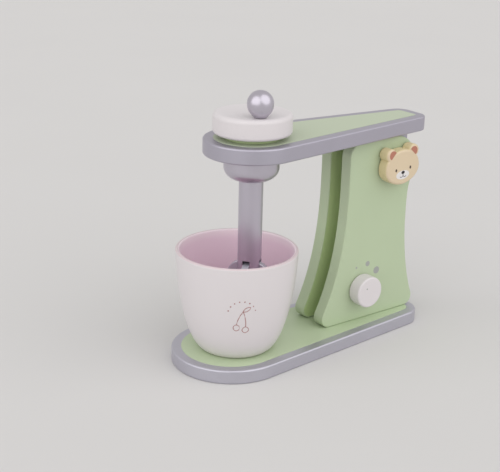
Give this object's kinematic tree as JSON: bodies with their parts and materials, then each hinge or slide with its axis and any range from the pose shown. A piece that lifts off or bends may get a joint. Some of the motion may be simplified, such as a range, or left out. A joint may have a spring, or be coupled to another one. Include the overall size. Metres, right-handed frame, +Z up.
{
  "type": "toy stand mixer",
  "caption": "Painted wooden toy stand mixer: the head tilts up on its column, a crank disc with a ball knob turns a shaft with a crossed whisk in a loose bowl, and a dial turns on the side.",
  "frame": {"origin": "on the surface that the base stands on, under the middle of the toy's bounding box", "axes": "+Z up, +X from the bowl end towards the column, and -Y towards the side with the dial and the bear knob"},
  "size_m": [0.266, 0.1084, 0.2481],
  "materials": {
    "green_paint": "satin sage green paint on wood",
    "silver_paint": "satin silver lavender paint on wood, with a green field on the two boards",
    "white_paint": "satin warm white paint on wood, the bowl pale pink inside",
    "cream_paint": "satin cream paint on wood with a printed face",
    "bare_beech": "sanded bare beech",
    "zinc_steel": "zinc plated",
    "grey_felt": "pressed felt"
  },
  "bodies": {
    "stand": {"base_board": "silver_paint", "near_side_panel": "green_paint", "far_side_panel": "green_paint", "stop_dowel": "bare_beech", "spreader_dowel": "bare_beech", "base_screw_near_1": "zinc_steel", "base_screw_far_1": "zinc_steel", "base_screw_near_2": "zinc_steel", "base_screw_far_2": "zinc_steel"},
    "head": {"head_board": "silver_paint", "hinge_block": "silver_paint", "block_dowel_front": "bare_beech", "block_dowel_back": "bare_beech"},
    "crank": {"crank_disc": "white_paint", "crank_knob": "silver_paint", "knob_dowel": "bare_beech", "top_washer": "bare_beech", "spindle": "bare_beech", "hub_washer": "grey_felt", "whisk_hub": "silver_paint", "whisk_shaft": "silver_paint", "whisk_loop_open_top": "silver_paint", "whisk_loop_open_below": "silver_paint"},
    "bear": {"bear_knob": "cream_paint", "hinge_pin": "bare_beech", "hinge_cap": "green_paint"},
    "dial": {"dial_knob": "white_paint", "dial_washer": "zinc_steel", "dial_screw": "zinc_steel"},
    "bowl": {"bowl": "white_paint"}
  },
  "joints": [
    {"name": "head_tilt", "type": "hinge", "parent": "stand", "child": "head", "pos_m": [0.09005, 0, 0.16], "axis": [0, 1, 0], "range_deg": [0, 60]},
    {"name": "crank_turn", "type": "hinge", "parent": "head", "child": "crank", "pos_m": [-0.06095, 0, 0.2], "axis": [0, 0, 1], "continuous": true},
    {"name": "bear_turn", "type": "hinge", "parent": "stand", "child": "bear", "pos_m": [0.09005, 0, 0.16], "axis": [0, 1, 0], "continuous": true},
    {"name": "dial_turn", "type": "hinge", "parent": "stand", "child": "dial", "pos_m": [0.05665, 0, 0.0442], "axis": [0, 1, 0], "continuous": true},
    {"name": "bowl_lift", "type": "slide", "parent": "stand", "child": "bowl", "axis": [0, 0, 1], "range_m": [0, 0.008]}
  ]
}
